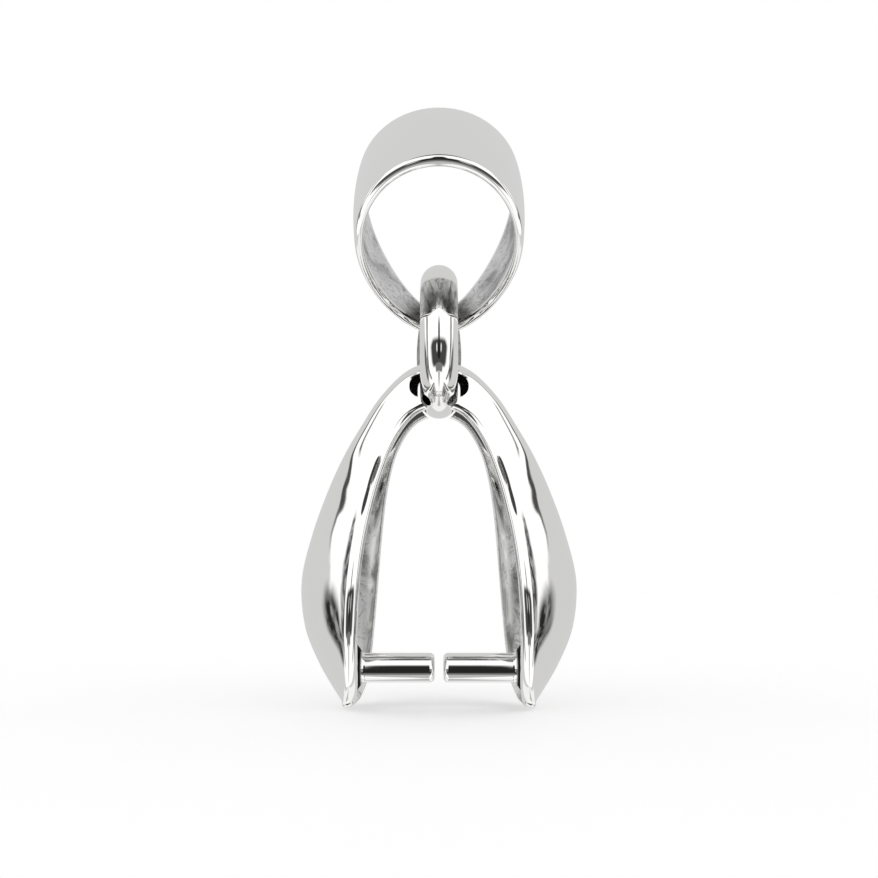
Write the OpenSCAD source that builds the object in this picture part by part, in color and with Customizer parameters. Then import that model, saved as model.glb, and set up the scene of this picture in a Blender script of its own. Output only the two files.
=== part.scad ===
// Pinch bail: a chain loop, a jump ring and a sprung clip with two pegs.
// X runs across the bail, Y from front to back and Z upwards. The origin is where the chain seats,
// on the inside of the loop at its top. All lengths are in millimetres.

/* [Chain loop] */
// Width of the loop at mid height, over its outer face
loop_w = 3.57; // [3:0.01:5]
// Height of the loop along its own axis
loop_h = 4.44; // [3.8:0.01:6.5]
// Egg shape of the loop, the share by which its upper half is wider
loop_egg = 0.22; // [0:0.01:0.3]
// How much the loop slims towards its top and its bottom
loop_slim = 0.07; // [0:0.01:0.2]
// Share of its width that the loop gains for each millimetre towards its back
loop_flare = 0.03; // [0:0.005:0.05]
// Angle that the loop leans forward on its ring
loop_lean = 37.5; // [0:0.5:45]
// Width of the band from rim to rim at the top of the loop
band_top = 4.5; // [2.5:0.1:6]
// Width of the band from rim to rim where the ring holds it
band_bottom = 1.07; // [0.8:0.01:1.2]
// Thickness of the band at the top of the loop
wall_top = 0.24; // [0.2:0.01:0.4]
// Thickness of the band at its sides and bottom
wall_side = 0.17; // [0.14:0.01:0.28]
// Rise of the band's face between its two rims, at the top of the loop
band_dome = 0.06; // [0.02:0.01:0.35]
// How late the band narrows on its way down, 1 for an even taper
band_taper = 1.9; // [1:0.1:3]

/* [Jump ring] */
// Inner diameter of the ring
ring_id = 1.8; // [1.7:0.02:2.4]
// Diameter of the ring's wire
ring_wire = 0.82; // [0.5:0.02:0.9]
// Extra width of the wire on each side at its soldered seam
seam_swell = 0.12; // [0.04:0.01:0.2]
// Half of the angle that the seam's swelling takes along the ring
seam_angle = 62; // [30:1:80]
// Gap between the ring and the band that it carries
ring_gap = 0.04; // [0.03:0.01:0.15]

/* [Pinch clip] */
// Width of the clip across both wings
clip_w = 5.93; // [4.8:0.01:8]
// Height of the clip from its roof to its tips
clip_h = 7.54; // [6:0.01:10]
// Width of a wing from front to back, where it is widest
wing_depth = 4.1; // [2.6:0.05:5]
// Width of the roof from front to back
roof_depth = 1.48; // [1.2:0.02:1.6]
// Thickness of the sheet
clip_wall = 0.3; // [0.2:0.01:0.34]
// Share of its width that the clip loses for each millimetre towards its back
clip_taper = 0.025; // [0:0.001:0.03]
// Gap between the ring's wire and the underside of the roof
roof_gap = 0.15; // [0.13:0.01:0.25]
// Height of the oval hole in the clip's front and back
hole_h = 0.7; // [0.5:0.02:0.9]
// Room on each side of the wire in the oval hole at the front
hole_side = 0.24; // [0.2:0.01:0.4]
// Room on each side of the wire in the oval hole at the back
back_side = 0.09; // [0.07:0.005:0.4]
// Squareness of the hole at the front, 2 for a plain oval
hole_square = 2.5; // [2:0.1:4]
// Squareness of the hole at the back
back_square = 4; // [3:0.1:6]
// Room round the wire in the notch under the oval hole
notch_gap = 0.06; // [0.04:0.01:0.1]

/* [Pegs] */
// Diameter of a peg
peg_d = 0.62; // [0.4:0.01:0.8]
// Gap between the ends of the two pegs
peg_gap = 0.19; // [0.05:0.01:0.6]
// Height of the pegs' axis above the clip's tips
peg_height = 0.82; // [0.7:0.02:1.4]
// Rounding of a peg's end
peg_round = 0.06; // [0.02:0.01:0.12]
// Depth of a peg's root below the wing's outer face
peg_root = 0.26; // [0.2:0.01:0.32]

/* [Hidden] */

// Sections round the loop, along the seam and along a wing, and points over a section's face
loop_steps = 60;
seam_steps = 14;
wing_steps = 3;
face_steps = 8;
hole_steps = 40;
$fn = 64;
// How deep the seam's ends are sunk in the wire
seam_sink = 0.025;

// Columns of a clip section's row
RIM_X = 0;
RIM_Z = 1;
CROWN_X = 2;
CROWN_Z = 3;
WING = 4;
ROOF = 5;
// Half of the clip, a row for each section from the middle of the roof to a tip. The rim and the crown
// stand at shares of half the clip's width, and at shares of its height down from the roof. A section's
// depth is the wing's share of wing_depth and the roof's share of roof_depth.
clip_rows = [
    // rim x, rim z, crown x, crown z, wing, roof
    [0.000, 0.153, 0.000, 0.000, 0.00, 1.00],
    [0.120, 0.163, 0.228, 0.026, 0.00, 0.97],
    [0.212, 0.190, 0.432, 0.104, 0.00, 0.94],
    [0.294, 0.238, 0.591, 0.202, 0.06, 0.84],
    [0.360, 0.299, 0.715, 0.291, 0.24, 0.56],
    [0.424, 0.397, 0.823, 0.393, 0.55, 0.28],
    [0.474, 0.519, 0.926, 0.519, 0.85, 0.12],
    [0.505, 0.641, 0.992, 0.648, 1.00, 0.00],
    [0.525, 0.763, 0.962, 0.774, 0.93, 0.00],
    [0.536, 0.858, 0.860, 0.874, 0.76, 0.00],
    [0.550, 0.932, 0.745, 0.950, 0.55, 0.00],
    [0.580, 0.976, 0.674, 0.988, 0.32, 0.00],
    [0.612, 0.994, 0.652, 0.999, 0.11, 0.00],
];
last_row = len(clip_rows) - 1;
// Shape of the arch across a clip section, and across the loop's band
clip_arch = 2.2;
band_arch = 2;

// Where the loop's lowest outer point lies, under the chain's seat
seat_drop = loop_h - wall_top;
loop_foot = [0, seat_drop * sin(loop_lean), -seat_drop * cos(loop_lean)];
// Middle of the band's round back rim, from the loop's lowest point, in Y and Z
foot_half = (band_bottom - wall_side) / 2;
foot_rise = band_dome * band_bottom / band_top + wall_side / 2;
foot_y = foot_half * cos(loop_lean) - foot_rise * sin(loop_lean);
foot_z = foot_half * sin(loop_lean) + foot_rise * cos(loop_lean);
// The ring hangs so that this rim is ring_gap away from its wire
seat_r = ring_id / 2 - ring_gap - wall_side / 2;
ring_drop = sqrt(seat_r * seat_r - foot_y * foot_y) - foot_z;
ring_at = loop_foot - [0, 0, ring_drop];
ring_path = (ring_id + ring_wire) / 2;

// The clip hangs by its roof on the lowest stretch of the ring's wire
roof_under = ring_at.z - ring_id / 2 + roof_gap;
roof_top = roof_under + clip_wall;
clip_at = [0, ring_at.y, roof_top];
// Height of the wire's middle where it passes through the clip's front and back
wall_y = roof_depth / 2 - clip_wall;
notch_z = ring_at.z - sqrt(ring_path * ring_path - wall_y * wall_y) - roof_top;
peg_z = peg_height - clip_h;

// Point between b and c on the smooth curve through rows a, b, c and d
function smooth_row(a, b, c, d, t) =
    b + t / 2 * (c - a + t * (2 * a - 5 * b + 4 * c - d + t * (3 * (b - c) + d - a)));

// Row k of the whole clip, from -last_row at the left tip to last_row at the right one
function mirror_x(r) = [-r[RIM_X], r[RIM_Z], -r[CROWN_X], r[CROWN_Z], r[WING], r[ROOF]];
function clip_row(k) = k < 0 ? mirror_x(clip_rows[min(-k, last_row)]) : clip_rows[min(k, last_row)];

// Row at the share t of the way from row k to the next one
function clip_row_at(k, t) =
    smooth_row(clip_row(k - 1), clip_row(k), clip_row(k + 1), clip_row(k + 2), t);

// Section of a domed strip as [y, h] points: its outer face, a round rim, its inner face and the other rim.
// The rims stand on h = 0 and the outer face's middle is at h = dome + wall.
function strip_y(half, i) = half * (2 * i / face_steps - 1);
function strip_slope(half, dome, arch, y) =
    -sign(y) * dome * arch * pow(abs(y) / half, arch - 1) / half;
function strip_point(half, dome, wall, arch, y, side) =
    let (s = strip_slope(half, dome, arch, y), n = [-s, 1] / sqrt(1 + s * s))
    [y, wall / 2 + dome * (1 - pow(abs(y) / half, arch))] + side * wall / 2 * n;
function strip_rim(half, dome, wall, arch, end, turn) =
    let (s = strip_slope(half, dome, arch, end * half), tilt = atan(s) + 90 - end * turn)
    [end * half, wall / 2] + wall / 2 * [cos(tilt), sin(tilt)];
function strip_section(width, dome, wall, arch) =
    let (half = width / 2 - wall / 2)
    concat(
        [for (i = [0:face_steps]) strip_point(half, dome, wall, arch, strip_y(half, i), 1)],
        [for (turn = [45, 90, 135]) strip_rim(half, dome, wall, arch, 1, turn)],
        [for (i = [face_steps:-1:0]) strip_point(half, dome, wall, arch, strip_y(half, i), -1)],
        [for (turn = [135, 90, 45]) strip_rim(half, dome, wall, arch, -1, turn)]
    );

// Outer outline of the loop at angle a from its top, seen from the front, above its lowest point
function loop_spread(a) = 1 + loop_egg * cos(a) - loop_slim * pow(cos(a), 2);
function loop_point(a) = [loop_w / 2 * sin(a) * loop_spread(a), loop_h / 2 * (1 + cos(a))];
function loop_normal(a) =
    let (
        gain = sin(a) * (2 * loop_slim * cos(a) - loop_egg),
        t = [loop_w / 2 * (cos(a) * loop_spread(a) + sin(a) * gain), -loop_h / 2 * sin(a)]
    )
    [-t.y, t.x] / norm(t);
function band_width(a) =
    band_bottom + (band_top - band_bottom) * (1 - pow((1 - cos(a)) / 2, band_taper));
function band_wall(a) = wall_side + (wall_top - wall_side) * pow((1 + cos(a)) / 2, 3);
function loop_section(a) =
    let (
        c = loop_point(a),
        n = loop_normal(a),
        dome = band_dome * band_width(a) / band_top,
        wall = band_wall(a)
    )
    [
        for (q = strip_section(band_width(a), dome, wall, band_arch))
            let (h = q.y - dome - wall)
            [(c.x + n.x * h) * (1 + loop_flare * q.x), q.x, c.y + n.y * h]
    ];

// Section of the clip from one of its rows, under the roof's top
function clip_depth(r) = r[WING] * wing_depth + r[ROOF] * roof_depth;
function clip_rim(r) = [r[RIM_X] * clip_w / 2, -r[RIM_Z] * clip_h];
function clip_crown(r) = [r[CROWN_X] * clip_w / 2, -r[CROWN_Z] * clip_h];
function clip_section(r) =
    let (
        rim = clip_rim(r),
        rise = clip_crown(r) - rim,
        d = norm(rise),
        wall = min(clip_wall, d)
    )
    [
        for (q = strip_section(clip_depth(r), d - wall, wall, clip_arch))
            let (p = rim + rise / d * q.y)
            [p.x * (1 - clip_taper * q.x), q.x, p.y]
    ];

// Outer face of the clip on its middle line, at height z under the roof's top
function crown_x(z) =
    lookup(-z, [for (k = [3:last_row]) [clip_rows[k][CROWN_Z] * clip_h, clip_crown(clip_rows[k]).x]]);

// Section of the ring's wire at angle a from the seam, widened there, with its ends sunk in the wire
seam_root = ring_wire / 2 - seam_sink;
function seam_share(a) = pow(cos(90 * a / seam_angle), 2);
function seam_section(a) =
    let (wide = seam_root + (seam_sink + seam_swell) * seam_share(a))
    [
        for (b = [0:30:330])
            let (r = ring_path + seam_root * sin(b))
            [wide * cos(b), r * cos(a), r * sin(a)]
    ];

// Closed skin over rings of points, joined end to end or with both ends filled
function middle(ring) = [for (k = [0:2]) [for (p = ring) p[k]] * [for (p = ring) 1] / len(ring)];
module skin(rings, closed) {
    n = len(rings[0]);
    m = len(rings);
    spans = closed ? m : m - 1;
    points = concat([for (r = rings) each r], [middle(rings[0]), middle(rings[m - 1])]);
    sides = [
        for (j = [0:spans - 1], i = [0:n - 1])
            let (a = j * n + i, b = j * n + (i + 1) % n, up = (j + 1) % m * n - j * n)
            each [[a, b, a + up], [b, b + up, a + up]]
    ];
    ends = closed ? [] : [
        for (i = [0:n - 1])
            let (next = (i + 1) % n, last = (m - 1) * n)
            each [[m * n, next, i], [m * n + 1, last + i, last + next]]
    ];
    polyhedron(points, concat(sides, ends));
}

// Oval tapered band that the chain goes through
module bail_loop() {
    color("silver")
        rotate([loop_lean, 0, 0])
            translate([0, 0, -seat_drop])
                skin([for (i = [0:loop_steps - 1]) loop_section(360 * i / loop_steps)], true);
}

// Thick closed ring, seen edge-on from the front, with its soldered seam at the back
module jump_ring() {
    color("gainsboro")
        translate(ring_at) {
            rotate([0, 90, 0])
                rotate_extrude()
                    translate([ring_path, 0])
                        circle(d = ring_wire);
            skin(
                [for (i = [0:seam_steps]) seam_section(seam_angle * (1 - 2 * i / seam_steps))],
                false
            );
        }
}

// Oval hole from the middle of the clip out through its front, as square in its corners as asked
function bend(u, square) = sign(u) * pow(abs(u), 2 / square);
module oval_hole(side, square) {
    half = ring_wire / 2 + side;
    rotate([90, 0, 0])
        linear_extrude(height = wing_depth)
            translate([0, -clip_wall - hole_h / 2])
                polygon([
                    for (i = [0:hole_steps - 1])
                        let (a = 360 * (i + 0.5) / hole_steps)
                        [half * bend(cos(a), square), hole_h / 2 * bend(sin(a), square)]
                ]);
}

// Oval holes through the front and the back of the clip, with a round notch under them that lets the
// ring's wire through the rim
module ring_hole() {
    oval_hole(hole_side, hole_square);
    mirror([0, 1, 0]) oval_hole(back_side, back_square);
    translate([0, 0, notch_z])
        rotate([90, 0, 0])
            cylinder(h = wing_depth, r = ring_wire / 2 + notch_gap, center = true);
}

// Round peg from near the middle into the wall of a wing, with a rounded end
module peg() {
    root_x = crown_x(peg_z) - peg_root;
    translate([peg_gap / 2, 0, peg_z])
        rotate([0, 90, 0])
            rotate_extrude()
                polygon(concat(
                    [[0, root_x - peg_gap / 2], [0, 0]],
                    [
                        for (a = [90:-15:0])
                            [peg_d / 2 - peg_round + peg_round * cos(a), peg_round - peg_round * sin(a)]
                    ],
                    [[peg_d / 2, root_x - peg_gap / 2]]
                ));
}

// Two domed wings joined by a narrow roof, with the pegs soldered inside their tips
module pinch_clip() {
    rows = [
        for (k = [-last_row:last_row - 1], j = [0:wing_steps - 1])
            clip_row_at(k, j / wing_steps)
    ];
    color("whitesmoke")
        translate(clip_at) {
            difference() {
                skin([for (r = concat(rows, [clip_row(last_row)])) clip_section(r)], false);
                ring_hole();
            }
            peg();
            mirror([1, 0, 0]) peg();
        }
}

bail_loop();
jump_ring();
pinch_clip();
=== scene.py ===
import math

import bpy
import numpy as np
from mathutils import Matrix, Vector


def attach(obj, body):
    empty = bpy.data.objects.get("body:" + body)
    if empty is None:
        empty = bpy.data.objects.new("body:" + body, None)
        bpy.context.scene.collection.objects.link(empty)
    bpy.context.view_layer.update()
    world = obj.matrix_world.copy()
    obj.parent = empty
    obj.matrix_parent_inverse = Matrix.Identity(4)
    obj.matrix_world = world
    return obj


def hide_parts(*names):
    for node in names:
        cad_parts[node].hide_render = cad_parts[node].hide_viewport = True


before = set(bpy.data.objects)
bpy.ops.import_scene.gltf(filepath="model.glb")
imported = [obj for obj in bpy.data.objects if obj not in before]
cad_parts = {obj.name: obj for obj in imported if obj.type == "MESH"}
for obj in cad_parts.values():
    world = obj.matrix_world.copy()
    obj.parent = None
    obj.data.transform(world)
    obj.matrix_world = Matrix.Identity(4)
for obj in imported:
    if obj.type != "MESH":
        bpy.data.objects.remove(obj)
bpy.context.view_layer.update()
mm = 0.001  # shapes are worked out in millimetres and set in metres

place = {
    "seatDrop": 4.2,  # chain seat down to the loop's lowest point, along the loop
    "lean": 37.5,  # degrees that the loop leans forward
    "ringY": 2.556799,  # middle of the jump ring
    "ringZ": -3.695395,
    "roofZ": -4.145395,  # top of the clip's roof
}


def putMesh(name, points, quads, uv, material, ends=()):
    # one mesh from a grid of points: rings x around x 3, with its quads and a uv for each quad corner
    verts = points.reshape(-1, 3) * mm
    faces = quads.reshape(-1, 4)
    a, b, c, d = (verts[faces[:, k]] for k in range(4))
    volume = np.einsum("ij,ij->i", a, np.cross(b, c)).sum() + np.einsum("ij,ij->i", a, np.cross(c, d)).sum()
    corners = uv.reshape(-1, 4, 2)
    loops = [list(e) for e in ends]
    if volume < 0:  # turned inside out, so every face is turned over
        faces = faces[:, ::-1]
        corners = corners[:, ::-1]
        loops = [e[::-1] for e in loops]
    mesh = bpy.data.meshes.new(name)
    mesh.from_pydata(verts.tolist(), [], faces.tolist() + loops)
    layer = mesh.uv_layers.new(name="surface")
    flat = np.concatenate([corners.reshape(-1), np.zeros(2 * sum(len(e) for e in loops))])
    layer.data.foreach_set("uv", flat.astype(np.float32))
    mesh.materials.append(material)
    mesh.polygons.foreach_set("use_smooth", np.ones(len(mesh.polygons), bool))
    mesh.update()
    piece = bpy.data.objects.new(name, mesh)
    bpy.context.scene.collection.objects.link(piece)
    return piece


def gridQuads(rings, around, closed):
    # quads between neighbouring rings, each ring closed on itself, and the last joined to the first if closed
    spans = rings if closed else rings - 1
    j = np.arange(spans)[:, None]
    i = np.arange(around)[None, :]
    up = (j + 1) % rings
    side = (i + 1) % around
    return np.stack([j * around + i, j * around + side, up * around + side, up * around + i], axis=-1)


def gridUv(inside, rings, closed):
    # u runs along the piece, v is the share given for each point, 0 where it is polished
    spans = rings if closed else rings - 1
    v = np.broadcast_to(inside, (rings, inside.shape[-1]))
    low, high = v[:spans], np.roll(v, -1, axis=0)[:spans]
    u = (np.arange(spans) / spans)[:, None] + 0 * low
    ahead = u + 1 / spans
    return np.stack([np.stack([u, low], -1), np.stack([u, np.roll(low, -1, axis=1)], -1),
                     np.stack([ahead, np.roll(high, -1, axis=1)], -1), np.stack([ahead, high], -1)], axis=-2)


def stripSection(width, dome, wall, arch, square, faceSteps, capSteps):
    # section of a domed strip: the middle line stands at h = wall/2 + dome * (1 - |s| ** arch), with s from
    # -1 to 1 across it, and the skin is half a wall away from it, turned round both rims as a superellipse. The
    # last value is 1 on the bare inside, and a little less in a polished margin along its rims
    across = np.linspace(-1, 1, faceSteps + 1)
    turn = np.linspace(0, np.pi, capSteps + 2)[1:-1]
    s = np.concatenate([across, np.ones(capSteps), across[::-1], -np.ones(capSteps)])
    spin = np.concatenate([0 * across, turn, 0 * across + np.pi, np.pi + turn])
    half = (width - wall) / 2
    slope = -np.sign(s) * dome * arch * np.abs(s) ** (arch - 1) / half
    tilt = np.arctan(slope)
    along = wall / 2 * np.sign(np.sin(spin)) * np.abs(np.sin(spin)) ** (2 / square)
    off = wall / 2 * np.sign(np.cos(spin)) * np.abs(np.cos(spin)) ** (2 / square)
    y = s * half + along * np.cos(tilt) - off * np.sin(tilt)
    h = wall / 2 + dome * (1 - np.abs(s) ** arch) + along * np.sin(tilt) + off * np.cos(tilt)
    bare = (1 - np.cos(spin)) / 2 * (1 - 0.13 * np.clip((np.abs(s) - 0.86) / 0.14, 0, 1) * (spin >= np.pi))
    return y, h, bare


studio = {
    "target": (0.0, 2.5568, -5.8984),  # point in the middle of the picture, in millimetres
    "distance": 22.5,
    "below": 8.5,  # degrees that the camera looks up
    "lens": 41.51,
    "floorZ": -11.712,
    "floor": (0.93, 0.93, 0.93),
    "floorGlow": 0.3,
    "folds": 0.012, "foldScale": 3.0,  # how unevenly the tent's cloth hangs
    "front": 1.12, "back": 0.66,  # the white panels before the part, and the grey one behind it
    # where the white ends, as the turn for each rise
    "edge": [(0.0, 0.53), (0.54, 0.515), (0.58, 0.53), (0.61, 0.57), (0.64, 0.6), (0.68, 0.615), (0.72, 0.605),
             (0.76, 0.6), (0.82, 0.57), (1.0, 0.3)],
    "edgeHalf": [(0.0, 0.011), (0.69, 0.012), (0.705, 0.022), (0.73, 0.022), (0.74, 0.012)],
    "edgeGrey": 0.07, "edgeReach": [(0.58, 0.0), (0.64, 0.7), (0.7, 1.0), (1.0, 1.0)],
    # a dark seam of the cloth: the turn and half the width for each rise
    "seam": [(0.2, 0.41), (0.25, 0.435), (0.32, 0.455), (0.4, 0.43), (0.46, 0.42), (0.53, 0.415), (0.62, 0.435),
             (0.66, 0.45), (0.7, 0.475), (0.73, 0.5), (0.76, 0.515)],
    "seamHalf": [(0.2, 0.03), (0.4, 0.04), (0.6, 0.045), (0.68, 0.035), (0.74, 0.02)],
    "seamGrey": 0.05, "seamReach": [(0.2, 0.0), (0.22, 1.0), (0.735, 1.0), (0.757, 0.0)],
    # what stands before the panels: its grey, where it lies by the turn and by the rise, and how streaky it is
    "shades": {
        "table": (0.95, [(0.6, 0.0), (0.66, 1.0), (1.0, 1.0)], [(0.0, 1.0), (0.25, 1.0), (0.3, 0.0)], 0.0),
        "zenith": (0.05, [(0.0, 1.0), (0.4, 1.0), (0.5, 0.0)], [(0.83, 0.0), (0.845, 1.0), (1.0, 1.0)], 0.0),
        "corner": (0.02, [(0.44, 0.0), (0.5, 1.0), (0.53, 1.0), (0.59, 0.0)],
                   [(0.24, 0.0), (0.32, 1.0), (0.42, 1.0), (0.58, 0.0)], 0.3),
        "gloom": (0.02, [(0.0, 1.0), (0.2, 1.0), (0.32, 0.0)],
                  [(0.22, 0.0), (0.27, 1.0), (0.41, 1.0), (0.46, 0.0)], 0.1),
        "lens": (0.06, [(0.0, 1.0), (0.2, 1.0), (0.37, 0.0)],
                 [(0.22, 0.0), (0.3, 1.0), (0.42, 1.0), (0.5, 0.0)], 0.0),
        "chin": (0.2, [(0.0, 1.0), (0.12, 1.0), (0.21, 0.0)],
                 [(0.17, 0.0), (0.2, 1.0), (0.25, 1.0), (0.27, 0.0)], 0.0),
        "foot": (0.5, [(0.0, 1.0), (0.05, 1.0), (0.08, 0.0), (0.93, 0.0), (0.96, 1.0), (1.0, 1.0)],
                 [(0.0, 1.0), (0.17, 1.0), (0.2, 0.0)], 0.0),
        "glints": (0.8, [(0.04, 0.0), (0.07, 1.0), (0.08, 1.0), (0.11, 0.0)],
                   [(0.33, 0.0), (0.37, 1.0), (0.4, 1.0), (0.44, 0.0)], 0.0),
        "glass": (0.01, [(0.0, 1.0), (0.035, 1.0), (0.06, 0.0)],
                  [(0.28, 0.0), (0.32, 1.0), (0.39, 1.0), (0.43, 0.0)], 0.0),
        "slit": (0.02, [(0.0, 1.0), (0.018, 1.0), (0.035, 0.0)],
                 [(0.28, 0.0), (0.3, 1.0), (0.5, 1.0), (0.56, 0.8), (0.62, 0.5), (0.68, 0.0)], 0.0),
    },
}


def addCamera():
    data = bpy.data.cameras.new("photoCamera")
    data.lens = studio["lens"]
    data.sensor_width = 36.0
    data.clip_start = 0.0005
    camera = bpy.data.objects.new("photoCamera", data)
    tilt = math.radians(studio["below"])
    target = Vector(studio["target"]) * mm
    back = Vector((0.0, -math.cos(tilt), -math.sin(tilt)))
    camera.location = target + back * studio["distance"] * mm
    camera.rotation_euler = (-back).to_track_quat("-Z", "Y").to_euler()
    bpy.context.scene.collection.objects.link(camera)
    bpy.context.scene.camera = camera
    bpy.context.scene.view_settings.view_transform = "Standard"


def addFloor():
    # a disc of pale card under the tips, left out of the reflections, as the tent has a table of its own there
    a = np.linspace(0, 2 * np.pi, 97)[:-1]
    radii = np.array([0.001, 20.0, 80.0, 320.0, 900.0])[:, None]
    points = np.stack([radii * np.cos(a), radii * np.sin(a), 0 * radii * a + studio["floorZ"]], -1)
    mesh = bpy.data.meshes.new("floorCard")
    quads = gridQuads(5, 96, False)
    mesh.from_pydata((points.reshape(-1, 3) * mm).tolist(), [], quads[..., ::-1].reshape(-1, 4).tolist())
    floor = bpy.data.objects.new("floorCard", mesh)
    bpy.context.scene.collection.objects.link(floor)
    card = bpy.data.materials.new("paleCard")
    card.use_nodes = True
    shader = card.node_tree.nodes["Principled BSDF"]
    shader.inputs["Base Color"].default_value = (*studio["floor"], 1.0)
    shader.inputs["Roughness"].default_value = 0.7
    shader.inputs["Specular IOR Level"].default_value = 0.2
    shader.inputs["Emission Color"].default_value = (1.0, 1.0, 1.0, 1.0)
    shader.inputs["Emission Strength"].default_value = studio["floorGlow"]
    mesh.materials.append(card)
    floor.visible_glossy = False


def addRamp(tree, stops, source):
    ramp = tree.nodes.new("ShaderNodeValToRGB")
    elements = ramp.color_ramp.elements
    while len(elements) > 1:
        elements.remove(elements[-1])
    elements[0].position = stops[0][0]
    elements[0].color = (*[stops[0][1]] * 3, 1.0)
    for position, value in stops[1:]:
        stop = elements.new(position)
        stop.color = (value, value, value, 1.0)
    tree.links.new(source, ramp.inputs["Fac"])
    return ramp.outputs["Color"]


def addMath(tree, kind, a, b=None, c=None):
    node = tree.nodes.new("ShaderNodeMath")
    node.operation = kind
    for socket, value in zip(node.inputs, (a, b, c)):
        if value is None:
            continue
        if isinstance(value, (int, float)):
            socket.default_value = value
        else:
            tree.links.new(value, socket)
    return node.outputs[0]


def addMapRange(tree, source, low, high, first=0.0, last=1.0):
    node = tree.nodes.new("ShaderNodeMapRange")
    node.interpolation_type = "SMOOTHSTEP"
    for label, value in (("From Min", low), ("From Max", high), ("To Min", first), ("To Max", last)):
        node.inputs[label].default_value = value
    tree.links.new(source, node.inputs["Value"])
    return node.outputs[0]


def addVector(tree, kind, a, b, c=None):
    node = tree.nodes.new("ShaderNodeVectorMath")
    node.operation = kind
    for socket, value in zip(node.inputs, (a, b, c)):
        if value is None:
            continue
        if isinstance(value, tuple):
            socket.default_value = value
        else:
            tree.links.new(value, socket)
    return node.outputs[0]


def addNoise(tree, vector, scale, detail, roughness=0.5, stretch=None, distortion=0.0):
    if stretch:
        mapping = tree.nodes.new("ShaderNodeMapping")
        mapping.inputs["Scale"].default_value = stretch
        tree.links.new(vector, mapping.inputs["Vector"])
        vector = mapping.outputs[0]
    noise = tree.nodes.new("ShaderNodeTexNoise")
    tree.links.new(vector, noise.inputs["Vector"])
    if isinstance(scale, (int, float)):
        noise.inputs["Scale"].default_value = scale
    else:
        tree.links.new(scale, noise.inputs["Scale"])
    noise.inputs["Detail"].default_value = detail
    noise.inputs["Roughness"].default_value = roughness
    noise.inputs["Distortion"].default_value = distortion
    return noise


def addWorld():
    # a light tent, told by the turn from the lens (0 in front, 1 at the back) and by the rise (0 below, 1
    # above): white panels in front and at the sides, grey at the back, and the shades that stand before them
    world = bpy.data.worlds.new("lightTent")
    world.use_nodes = True
    bpy.context.scene.world = world
    tree = world.node_tree
    tree.nodes.clear()
    direction = tree.nodes.new("ShaderNodeTexCoord").outputs["Generated"]
    cloth = addNoise(tree, direction, studio["foldScale"], 2.0).outputs["Color"]
    half = -studio["folds"] / 2
    hung = addVector(tree, "MULTIPLY_ADD", cloth, (studio["folds"],) * 3, (half, half, half))
    unit = addVector(tree, "NORMALIZE", addVector(tree, "ADD", direction, hung), None)
    split = tree.nodes.new("ShaderNodeSeparateXYZ")
    tree.links.new(unit, split.inputs[0])
    x, y, z = split.outputs
    flat = addMath(tree, "SQRT", addMath(tree, "MULTIPLY_ADD", x, x, addMath(tree, "MULTIPLY", y, y)))
    facing = addMath(tree, "DIVIDE", addMath(tree, "MULTIPLY", y, -1.0), addMath(tree, "MAXIMUM", flat, 0.001))
    turn = addMath(tree, "DIVIDE", addMath(tree, "ARCCOSINE", facing), math.pi)
    rise = addMath(tree, "MULTIPLY_ADD", addMath(tree, "ARCSINE", z), 1 / math.pi, 0.5)
    streaks = addRamp(tree, [(0.42, 0.0), (0.6, 1.0)],
                      addNoise(tree, direction, 7.0, 3.0, 0.55, (2.0, 2.0, 0.6)).outputs["Fac"])
    beyond = addMath(tree, "SUBTRACT", turn, addRamp(tree, studio["edge"], rise))
    light = addMapRange(tree, beyond, -0.008, 0.008, studio["front"], studio["back"])
    aside = addMath(tree, "ABSOLUTE", addMath(tree, "SUBTRACT", turn, addRamp(tree, studio["seam"], rise)))
    share = addMath(tree, "DIVIDE", aside, addRamp(tree, studio["seamHalf"], rise))
    reach = addMath(tree, "MULTIPLY", addRamp(tree, studio["seamReach"], rise),
                    addMath(tree, "MULTIPLY_ADD", streaks, -0.35, 1.0))
    hem = addMath(tree, "DIVIDE", addMath(tree, "ABSOLUTE", addMath(tree, "ADD", beyond, 0.006)),
                  addRamp(tree, studio["edgeHalf"], rise))
    zones = [(studio["seamGrey"], addMath(tree, "MULTIPLY", addMapRange(tree, share, 1.0, 0.4, 0.0, 1.0), reach)),
             (studio["edgeGrey"], addMath(tree, "MULTIPLY", addMapRange(tree, hem, 1.0, 0.4, 0.0, 1.0),
                                          addRamp(tree, studio["edgeReach"], rise)))]
    for grey, alongTurn, alongRise, streaky in studio["shades"].values():
        both = addMath(tree, "MULTIPLY", addRamp(tree, alongTurn, turn), addRamp(tree, alongRise, rise))
        cover = addMapRange(tree, both, 0.2, 0.8)  # rounds the corners of the shade
        if streaky:
            cover = addMath(tree, "MULTIPLY", cover, addMath(tree, "MULTIPLY_ADD", streaks, -streaky, 1.0))
        zones.append((grey, cover))
    for grey, cover in zones:
        clear = addMath(tree, "SUBTRACT", 1.0, cover)
        light = addMath(tree, "MULTIPLY_ADD", light, clear, addMath(tree, "MULTIPLY", cover, grey))
    tent = tree.nodes.new("ShaderNodeBackground")
    tree.links.new(light, tent.inputs["Color"])
    plain = tree.nodes.new("ShaderNodeBackground")  # the camera itself sees a plain white backdrop
    plain.inputs["Color"].default_value = (1.0, 1.0, 1.0, 1.0)
    ray = tree.nodes.new("ShaderNodeLightPath")
    mix = tree.nodes.new("ShaderNodeMixShader")
    tree.links.new(ray.outputs["Is Camera Ray"], mix.inputs[0])
    tree.links.new(tent.outputs[0], mix.inputs[1])
    tree.links.new(plain.outputs[0], mix.inputs[2])
    out = tree.nodes.new("ShaderNodeOutputWorld")
    tree.links.new(mix.outputs[0], out.inputs["Surface"])


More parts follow.
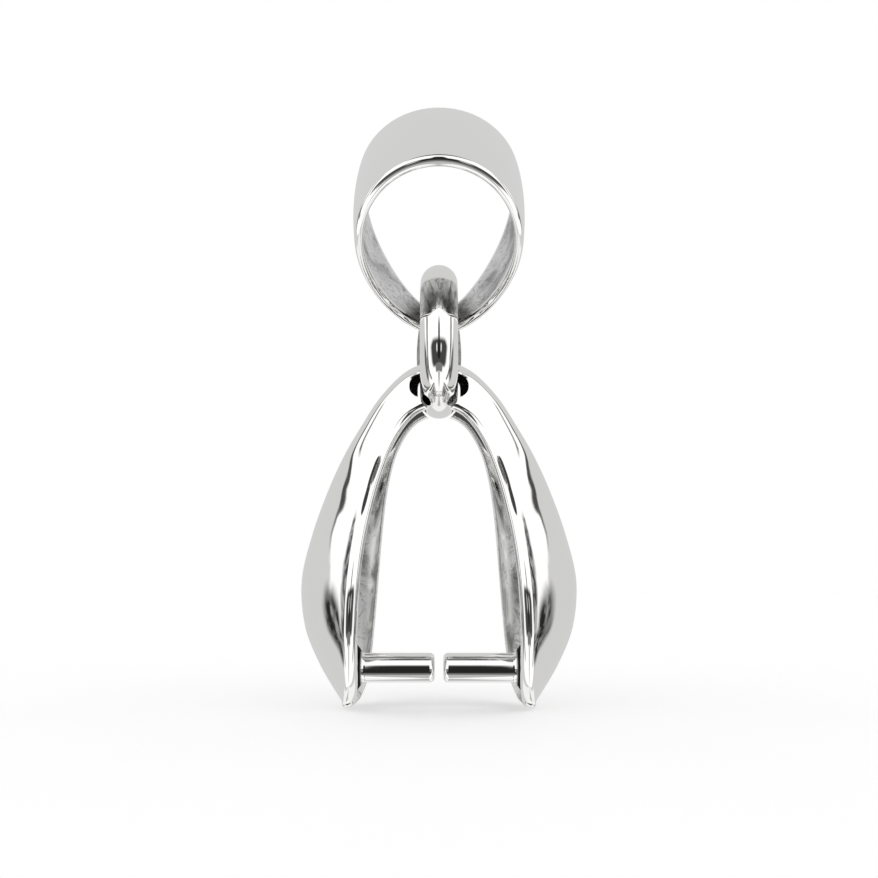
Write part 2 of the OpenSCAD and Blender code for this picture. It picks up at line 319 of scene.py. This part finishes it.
def newGroup(name, inputs, outputs):
    group = bpy.data.node_groups.new(name, "ShaderNodeTree")
    for label, kind, value in inputs:
        socket = group.interface.new_socket(label, in_out="INPUT", socket_type=kind)
        if value is not None:
            socket.default_value = value
    for label, kind in outputs:
        group.interface.new_socket(label, in_out="OUTPUT", socket_type=kind)
    return group, group.nodes.new("NodeGroupInput"), group.nodes.new("NodeGroupOutput")


def buildHandPolish():
    # a hand-polished skin: long soft waves left by the buff, and fine hairlines that only show in a highlight
    group, given, out = newGroup(
        "handPolish",
        [("Position", "NodeSocketVector", None), ("Wave Scale", "NodeSocketFloat", 500.0),
         ("Waves", "NodeSocketFloat", 1.0), ("Hairlines", "NodeSocketFloat", 1.0)],
        [("Height", "NodeSocketFloat"), ("Roughness", "NodeSocketFloat")])
    position = given.outputs["Position"]
    waves = addNoise(group, position, given.outputs["Wave Scale"], 1.5).outputs["Fac"]
    lines = addNoise(group, position, 2600.0, 3.0, 0.65, (1.0, 0.12, 0.35)).outputs["Fac"]
    marks = addMath(group, "MULTIPLY", addMath(group, "MULTIPLY", lines, given.outputs["Hairlines"]), 0.012)
    height = addMath(group, "MULTIPLY_ADD", waves, given.outputs["Waves"], marks)
    smear = addMath(group, "MULTIPLY_ADD", addNoise(group, position, 900.0, 3.0).outputs["Fac"], 0.05, 0.02)
    group.links.new(height, out.inputs["Height"])
    group.links.new(smear, out.inputs["Roughness"])
    return group


def buildCloudyCast():
    # the unpolished inside: pale and dark clouds, thin wandering lines between them, and scattered pits, with
    # painted shade that darkens it to near black and takes away its shine
    group, given, out = newGroup(
        "cloudyCast",
        [("Position", "NodeSocketVector", None), ("Cloud Scale", "NodeSocketFloat", 900.0),
         ("Shade", "NodeSocketFloat", 1.0), ("Painted Shade", "NodeSocketFloat", 0.0)],
        [("Colour", "NodeSocketColor"), ("Roughness", "NodeSocketFloat"), ("Metallic", "NodeSocketFloat"),
         ("Height", "NodeSocketFloat")])
    position = given.outputs["Position"]
    drawn = (1.0, 0.4, 0.8)
    clouds = addNoise(group, position, given.outputs["Cloud Scale"], 4.0, 0.62, drawn, 0.6).outputs["Fac"]
    seams = addNoise(group, position, 1900.0, 3.0, 0.6, drawn, 1.5).outputs["Fac"]
    grains = addNoise(group, position, 7000.0, 3.0, 0.7).outputs["Fac"]
    tone = addRamp(group, [(0.32, 0.34), (0.43, 0.62), (0.5, 0.9), (0.6, 1.0)], clouds)
    vein = addRamp(group, [(0.465, 1.0), (0.495, 0.6), (0.505, 0.6), (0.535, 1.0)], seams)
    speck = addRamp(group, [(0.3, 0.5), (0.38, 1.0)], grains)
    shade = addMath(group, "MULTIPLY", addMath(group, "MULTIPLY", tone, speck), vein)
    # painted shade: the colour falls towards near black and the shine goes as the fourth input rises
    bare = addMath(group, "SUBTRACT", 1.0, given.outputs["Painted Shade"])
    shade = addMath(group, "MULTIPLY", addMath(group, "MULTIPLY", shade, given.outputs["Shade"]),
                    addMath(group, "MAXIMUM", bare, 0.012))
    mix = group.nodes.new("ShaderNodeCombineColor")
    for socket in mix.inputs[:3]:
        group.links.new(shade, socket)
    rough = addMath(group, "MULTIPLY_ADD", clouds, -0.35, 0.52)
    height = addMath(group, "MULTIPLY_ADD", grains, 0.2, clouds)
    group.links.new(mix.outputs[0], out.inputs["Colour"])
    group.links.new(rough, out.inputs["Roughness"])
    group.links.new(bare, out.inputs["Metallic"])
    group.links.new(height, out.inputs["Height"])
    return group


def silver(name, polish, cast, look):
    # polished silver, with the cast skin where the piece's own uv says that it is its inside
    material = bpy.data.materials.new(name)
    material.use_nodes = True
    tree = material.node_tree
    shader = tree.nodes["Principled BSDF"]
    shader.inputs["Metallic"].default_value = 1.0
    shader.inputs["Specular IOR Level"].default_value = 0.0
    position = tree.nodes.new("ShaderNodeTexCoord").outputs["Object"]
    buffed = tree.nodes.new("ShaderNodeGroup")
    buffed.node_tree = polish
    tree.links.new(position, buffed.inputs["Position"])
    buffed.inputs["Wave Scale"].default_value = look["waveScale"]
    buffed.inputs["Waves"].default_value = look["waves"]
    buffed.inputs["Hairlines"].default_value = look["hairlines"]
    bump = tree.nodes.new("ShaderNodeBump")
    bump.inputs["Distance"].default_value = look["bump"] * mm
    tree.links.new(bump.outputs["Normal"], shader.inputs["Normal"])
    if "castEdge" not in look:
        shader.inputs["Base Color"].default_value = (*look["colour"], 1.0)
        tree.links.new(buffed.outputs["Roughness"], shader.inputs["Roughness"])
        tree.links.new(buffed.outputs["Height"], bump.inputs["Height"])
        return material
    rough = tree.nodes.new("ShaderNodeGroup")
    rough.node_tree = cast
    tree.links.new(position, rough.inputs["Position"])
    rough.inputs["Cloud Scale"].default_value = look["cloudScale"]
    rough.inputs["Shade"].default_value = look["castShade"]
    rough.inputs["Painted Shade"].default_value = look["paintedShade"]
    if "paintedShadeFrom" in look:  # painted shade, near black and without shine, up under the roof in the hollow behind the hole
        height = tree.nodes.new("ShaderNodeSeparateXYZ")
        tree.links.new(position, height.inputs[0])
        paintedShade = addMapRange(tree, height.outputs["Z"], look["paintedShadeFrom"] * mm, look["paintedShadeTo"] * mm)
        tree.links.new(paintedShade, rough.inputs["Painted Shade"])
    uv = tree.nodes.new("ShaderNodeUVMap")
    uv.uv_map = "surface"
    split = tree.nodes.new("ShaderNodeSeparateXYZ")
    tree.links.new(uv.outputs[0], split.inputs[0])
    mask = addMapRange(tree, split.outputs["Y"], *look["castEdge"])
    for label, target, kind in (("Colour", shader.inputs["Base Color"], "RGBA"),
                                ("Roughness", shader.inputs["Roughness"], "FLOAT"),
                                ("Metallic", shader.inputs["Metallic"], "FLOAT"),
                                ("Height", bump.inputs["Height"], "FLOAT")):
        mix = tree.nodes.new("ShaderNodeMix")
        mix.data_type = kind
        first = 6 if kind == "RGBA" else 2
        tree.links.new(mask, mix.inputs[0])
        if label == "Colour":
            mix.inputs[first].default_value = (*look["colour"], 1.0)
        elif label == "Metallic":
            mix.inputs[first].default_value = 1.0
        else:
            tree.links.new(buffed.outputs[label], mix.inputs[first])
        tree.links.new(rough.outputs[label], mix.inputs[first + 1])
        tree.links.new(mix.outputs[first // 3], target)
    return material


chainLoop = {
    "width": 3.57, "height": 4.44, "egg": 0.22, "slim": 0.07, "flare": 0.03,
    "bandTop": 4.5, "bandBottom": 1.07, "taper": 1.9,
    "wallTop": 0.24, "wallSide": 0.17, "dome": 0.06, "arch": 2.0, "square": 2.6,
    "rings": 240, "faceSteps": 36, "capSteps": 11,
    "colour": (0.93, 0.925, 0.915), "waveScale": 420.0, "waves": 1.0, "hairlines": 0.6, "bump": 0.01,
    "cloudScale": 1300.0, "castShade": 0.8, "castEdge": (0.9, 1.0), "paintedShade": 0.0,
}


def buildLoop(material):
    # the outline is an egg, x = width/2 * sin a * (1 + egg * cos a - slim * cos a ** 2) and
    # z = height/2 * (1 + cos a), and a domed strip is carried round it, deepest and thickest at the top. It
    # spreads by the flare for each millimetre towards its back, and leans forward on its lowest point
    s = chainLoop
    a = np.linspace(0, 2 * np.pi, s["rings"] + 1)[:-1, None]
    spread = 1 + s["egg"] * np.cos(a) - s["slim"] * np.cos(a) ** 2
    x = s["width"] / 2 * np.sin(a) * spread
    z = s["height"] / 2 * (1 + np.cos(a))
    gain = np.sin(a) * (2 * s["slim"] * np.cos(a) - s["egg"])
    dx = s["width"] / 2 * (np.cos(a) * spread + np.sin(a) * gain)
    dz = -s["height"] / 2 * np.sin(a)
    length = np.hypot(dx, dz)
    width = s["bandBottom"] + (s["bandTop"] - s["bandBottom"]) * (1 - ((1 - np.cos(a)) / 2) ** s["taper"])
    wall = s["wallSide"] + (s["wallTop"] - s["wallSide"]) * ((1 + np.cos(a)) / 2) ** 3
    dome = s["dome"] * width / s["bandTop"]
    y, h, inside = stripSection(width, dome, wall, s["arch"], s["square"], s["faceSteps"], s["capSteps"])
    out = h - dome - wall
    px = (x - dz / length * out) * (1 + s["flare"] * y)
    pz = z + dx / length * out - place["seatDrop"]
    lean = math.radians(place["lean"])
    points = np.stack([px, y * math.cos(lean) - pz * math.sin(lean), y * math.sin(lean) + pz * math.cos(lean)], -1)
    rings, around = points.shape[:2]
    piece = putMesh("chainLoop", points, gridQuads(rings, around, True), gridUv(inside, rings, True), material)
    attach(piece, "loop")
    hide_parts("bail_loop")
    print("chain loop built")


jumpRing = {
    "wire": 0.82, "inner": 1.8, "swell": 0.12, "swellHalf": 62.0, "rings": 288, "around": 72,
    "colour": (0.93, 0.925, 0.915), "waveScale": 700.0, "waves": 1.0, "hairlines": 0.3, "bump": 0.005,
    # castShade darkens the sides of the hump: painted shade
    "cloudScale": 1200.0, "castShade": 0.45, "castEdge": (0.25, 0.7), "paintedShade": 0.0,
}


def buildRing(material):
    # a round wire carried round a circle that stands from front to back, and made wider from side to side
    # by a cosine hump where it was soldered, at its back, whose sides are given a mottled skin darkened as painted
    # shade
    s = jumpRing
    a = np.linspace(-np.pi, np.pi, s["rings"] + 1)[:-1, None]  # 0 at the back
    b = np.linspace(0, 2 * np.pi, s["around"] + 1)[None, :-1]
    radius = s["wire"] / 2
    path = (s["inner"] + s["wire"]) / 2
    hump = np.cos(np.clip(np.degrees(np.abs(a)) / s["swellHalf"], 0, 1) * np.pi / 2) ** 2
    wide = radius + s["swell"] * hump
    r = path + radius * np.sin(b)
    points = np.stack([wide * np.cos(b), place["ringY"] + r * np.cos(a), place["ringZ"] + r * np.sin(a)], -1)
    rings, around = points.shape[:2]
    # v marks the sides of the hump, where the painted shade is laid
    piece = putMesh("ringWire", points, gridQuads(rings, around, True), gridUv(hump * np.abs(np.cos(b)), rings, True), material)
    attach(piece, "ring")
    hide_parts("jump_ring")
    print("jump ring built")


pinchClip = {
    "width": 5.93, "height": 7.54, "wing": 4.1, "roof": 1.48, "wall": 0.3, "taper": 0.025, "arch": 2.2, "square": 2.0,
    "stepsPerRow": 9, "faceSteps": 34, "capSteps": 11, "tipSteps": 7, "tipReach": 0.03,
    "holeH": 0.7, "holeHalf": 0.65, "holeSquare": 2.5, "backHalf": 0.487, "backSquare": 4.0,
    "notchR": 0.47, "notchZ": -0.784, "holeSteps": 120, "holeRound": 0.04,
    # a row for each section from the roof to a tip: rim x, rim z, crown x, crown z, wing, roof, in shares
    "rows": [
        (0.000, 0.153, 0.000, 0.000, 0.00, 1.00), (0.120, 0.163, 0.228, 0.026, 0.00, 0.97),
        (0.212, 0.190, 0.432, 0.104, 0.00, 0.94), (0.294, 0.238, 0.591, 0.202, 0.06, 0.84),
        (0.360, 0.299, 0.715, 0.291, 0.24, 0.56), (0.424, 0.397, 0.823, 0.393, 0.55, 0.28),
        (0.474, 0.519, 0.926, 0.519, 0.85, 0.12), (0.505, 0.641, 0.992, 0.648, 1.00, 0.00),
        (0.525, 0.763, 0.962, 0.774, 0.93, 0.00), (0.536, 0.858, 0.860, 0.874, 0.76, 0.00),
        (0.550, 0.932, 0.745, 0.950, 0.55, 0.00), (0.580, 0.976, 0.674, 0.988, 0.32, 0.00),
        (0.612, 0.994, 0.652, 0.999, 0.11, 0.00)],
    "colour": (0.93, 0.925, 0.915), "waveScale": 360.0, "waves": 1.0, "hairlines": 0.8, "bump": 0.012,
    "cloudScale": 1000.0, "castShade": 1.0, "castEdge": (0.9, 1.0), "paintedShade": 0.0,
    # painted shade in the hollow under the roof, fading in from z -5.0 to -4.85 mm
    "paintedShadeFrom": -5.0, "paintedShadeTo": -4.85,
}


def clipRows():
    # rows of the whole clip on one smooth curve through the table's rows, mirrored about the roof
    half = np.array(pinchClip["rows"])
    mirrored = half[:0:-1] * [-1, 1, -1, 1, 1, 1]
    rows = np.concatenate([mirrored, half])
    rows = np.concatenate([rows[:1], rows, rows[-1:]])
    count = len(rows) - 3
    t = np.linspace(0, count, count * pinchClip["stepsPerRow"] + 1)
    k = np.minimum(t.astype(int), count - 1)
    u = (t - k)[:, None]
    a, b, c, d = rows[k], rows[k + 1], rows[k + 2], rows[k + 3]
    rows = b + u / 2 * (c - a + u * (2 * a - 5 * b + 4 * c - d + u * (3 * (b - c) + d - a)))
    steps = pinchClip["stepsPerRow"]
    share = np.sqrt(1 - np.linspace(0, 1, steps + 1) ** 2)
    depth = half[-1, 4] + (half[-2, 4] - half[-1, 4]) * share  # the last span narrows as a quarter of an ellipse
    rows[-steps - 1:, 4] = depth
    rows[:steps + 1, 4] = depth[::-1]
    return rows


def addCut(piece, material, half, height, z, square, front, back):
    # a prism from front to back whose outline is a superellipse, taken out of the piece
    a = np.linspace(0, 2 * np.pi, pinchClip["holeSteps"] + 1)[:-1]
    x = half * np.sign(np.cos(a)) * np.abs(np.cos(a)) ** (2 / square)
    up = height * np.sign(np.sin(a)) * np.abs(np.sin(a)) ** (2 / square)
    y = np.array([front, back])[:, None] + place["ringY"]
    points = np.stack([x + 0 * y, y + 0 * a, up + 0 * y + z + place["roofZ"]], -1)
    n = len(a)
    ends = (np.arange(n)[::-1].tolist(), (np.arange(n) + n).tolist())
    # its walls take the cast skin (v = 1), so that the painted shade under the roof darkens them too
    cutter = putMesh("holeCutter", points, gridQuads(2, n, False), gridUv(0 * a[None, :] + 1, 2, False), material, ends)
    cut = piece.modifiers.new("hole", "BOOLEAN")
    cut.operation = "DIFFERENCE"
    cut.solver = "EXACT"
    cut.object = cutter
    return cutter


def buildClip(material):
    # a domed strip carried along the rows: each section stands on the line from its rim point to its crown
    # point, is as deep as its row says, and narrows a little towards the back, and each tip is rounded off
    s = pinchClip
    rows = clipRows()
    rim = np.stack([rows[:, 0] * s["width"] / 2, -rows[:, 1] * s["height"]], -1)
    crown = np.stack([rows[:, 2] * s["width"] / 2, -rows[:, 3] * s["height"]], -1)
    rise = crown - rim
    d = np.linalg.norm(rise, axis=1)[:, None]
    rise = rise / d
    wall = np.minimum(s["wall"], d)
    depth = rows[:, 4:5] * s["wing"] + rows[:, 5:6] * s["roof"]
    y, h, inside = stripSection(depth, d - wall, wall, s["arch"], s["square"], s["faceSteps"], s["capSteps"])
    px = rim[:, :1] + rise[:, :1] * h
    pz = rim[:, 1:] + rise[:, 1:] * h
    points = np.stack([px * (1 - s["taper"] * y), y + place["ringY"], pz + place["roofZ"]], -1)
    turn = np.linspace(0, np.pi / 2, s["tipSteps"] + 1)[1:-1][:, None, None]
    caps = []
    for ring, inner in ((points[0], points[2]), (points[-1], points[-3])):
        centre = ring.mean(0)
        ahead = centre - inner.mean(0)
        ahead = ahead / np.linalg.norm(ahead) * s["tipReach"]
        caps.append(centre + (ring - centre) * (1 - (1 - np.cos(turn)) * 0.9) + ahead * np.sin(turn))
    points = np.concatenate([caps[0][::-1], points, caps[1]])
    rings, around = points.shape[:2]
    ends = (list(range(around))[::-1], [(rings - 1) * around + i for i in range(around)])
    piece = putMesh("clipBody", points, gridQuads(rings, around, False), gridUv(inside, rings, False), material, ends)
    middle = -s["wall"] - s["holeH"] / 2
    out = s["wing"] / 2
    cutters = [
        addCut(piece, material, s["holeHalf"], s["holeH"] / 2, middle, s["holeSquare"], -out, 0.1),
        addCut(piece, material, s["backHalf"], s["holeH"] / 2, middle, s["backSquare"], 0.0, out),
        addCut(piece, material, s["notchR"], s["notchR"], s["notchZ"], 2.0, -out, out)]
    rounding = piece.modifiers.new("rounding", "BEVEL")
    rounding.width = s["holeRound"] * mm
    rounding.segments = 3
    rounding.limit_method = "ANGLE"
    rounding.angle_limit = math.radians(40)
    graph = bpy.context.evaluated_depsgraph_get()
    done = bpy.data.meshes.new_from_object(piece.evaluated_get(graph), depsgraph=graph)
    piece.modifiers.clear()
    bare = piece.data
    piece.data = done
    bpy.data.meshes.remove(bare)
    for cutter in cutters:
        bpy.data.objects.remove(cutter)
    done.name = "clipBody"
    done.set_sharp_from_angle(angle=math.radians(35))
    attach(piece, "clip")
    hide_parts("pinch_clip")
    print("clip body built", len(done.polygons))


clipPegs = {
    "radius": 0.31, "gap": 0.19, "height": 0.82, "round": 0.1, "root": 2.27, "around": 64,
    "collarMiddle": 1.8, "collarHalf": 0.2, "collarUp": 0.19, "collarDeep": 0.04,  # solder round the root
    "colour": (0.93, 0.925, 0.915), "waveScale": 900.0, "waves": 1.0, "hairlines": 0.4, "bump": 0.004,
    # the collar is painted near black and without shine: painted shade where the bar enters the hollow
    "cloudScale": 1500.0, "castShade": 0.2, "castEdge": (0.02, 0.4), "paintedShade": 0.9,
}


def buildPegs(material):
    # a round bar turned from a profile, with a rounded end, and near its root a collar of solder that swells
    # by a squared cosine, more upwards than in depth, and is painted near black as painted shade
    p = clipPegs
    bend = np.linspace(np.pi / 2, 0, 9)
    start = p["gap"] / 2
    endX = start + p["round"] - p["round"] * np.sin(bend)
    endR = p["radius"] - p["round"] + p["round"] * np.cos(bend)
    sideX = np.linspace(endX[-1], p["root"], 60)[1:]
    x = np.concatenate([[start, start], endX, sideX])[:, None]
    r = np.concatenate([[0.004, 0.12], endR, 0 * sideX + p["radius"]])[:, None]
    collar = np.cos(np.clip(np.abs(x - p["collarMiddle"]) / p["collarHalf"], 0, 1) * np.pi / 2) ** 2
    a = np.linspace(0, 2 * np.pi, p["around"] + 1)[None, :-1]
    z = place["roofZ"] + p["height"] - pinchClip["height"]
    for name, sign in (("pegLeft", -1), ("pegRight", 1)):
        points = np.stack([sign * x + 0 * a, place["ringY"] + (r + p["collarDeep"] * collar) * np.cos(a),
                           z + (r + p["collarUp"] * collar) * np.sin(a)], -1)
        rings, around = points.shape[:2]
        ends = (list(range(around))[::-1], [(rings - 1) * around + i for i in range(around)])
        # v is the collar's share, where the painted shade is laid
        piece = putMesh(name, points, gridQuads(rings, around, False), gridUv(collar + 0 * a, rings, False), material,
                        ends)
        piece.data.set_sharp_from_angle(angle=math.radians(50))
        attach(piece, "clip")
    print("pegs built")


addCamera()
addFloor()
addWorld()
print("studio set")
polish = buildHandPolish()
cast = buildCloudyCast()
buildLoop(silver("loopSilver", polish, cast, chainLoop))
buildRing(silver("ringSilver", polish, cast, jumpRing))
buildClip(silver("clipSilver", polish, cast, pinchClip))
buildPegs(silver("pegSilver", polish, cast, clipPegs))
